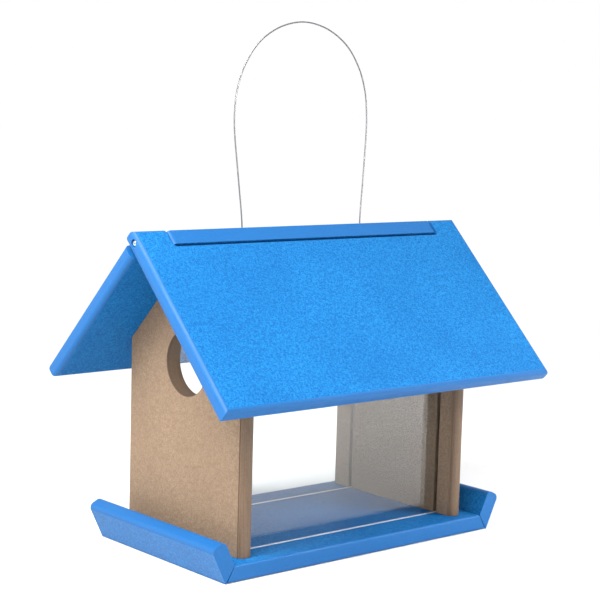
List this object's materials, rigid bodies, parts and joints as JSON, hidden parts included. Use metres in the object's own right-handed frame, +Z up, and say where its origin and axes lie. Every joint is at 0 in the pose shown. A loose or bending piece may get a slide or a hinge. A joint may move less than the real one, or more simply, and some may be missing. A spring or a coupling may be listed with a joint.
{
  "type": "hanging bird feeder",
  "caption": "House-shaped hanging bird feeder: gabled roof with a hinged lid, clear side windows, round entrance holes in the end walls, a floor tray and a steel cable hanger.",
  "frame": {"origin": "on the floor plane under the middle of the base board", "axes": "+X along the roof ridge, -Y towards the hinged lid and its window, +Z up"},
  "size_m": [0.3302, 0.225, 0.4059],
  "materials": {
    "blue_board": "satin, finely speckled",
    "tan_board": "satin, finely speckled",
    "clear_pane": "polished clear",
    "screw_steel": "plain bright",
    "cable_steel": "stranded wire rope",
    "sleeve_aluminium": "crimped"
  },
  "bodies": {
    "house": {"base_board": "blue_board", "base_screw_left_front": "screw_steel", "base_screw_left_rear": "screw_steel", "base_screw_right_front": "screw_steel", "base_screw_right_rear": "screw_steel", "cable_stop_left": "sleeve_aluminium", "cable_stop_right": "sleeve_aluminium", "cable_washer_left": "screw_steel", "cable_washer_right": "screw_steel", "gable_left": "tan_board", "gable_right": "tan_board", "hanger_cable": "cable_steel", "hinge_screw_left": "screw_steel", "hinge_screw_right": "screw_steel", "roof_rear_panel": "blue_board", "roof_screw_left_lower": "screw_steel", "roof_screw_left_upper": "screw_steel", "roof_screw_right_lower": "screw_steel", "roof_screw_right_upper": "screw_steel", "tray_end_left": "blue_board", "tray_end_right": "blue_board", "tray_screw_left_front": "screw_steel", "tray_screw_left_rear": "screw_steel", "tray_screw_right_front": "screw_steel", "tray_screw_right_rear": "screw_steel", "window_front": "clear_pane", "window_rear": "clear_pane"},
    "lid": {"roof_front_panel": "blue_board"}
  },
  "joints": [
    {"name": "roof_hinge", "type": "hinge", "parent": "house", "child": "lid", "pos_m": [0, -0.00053, 0.23925], "axis": [-1, 0, 0], "range_deg": [0, 115]}
  ]
}
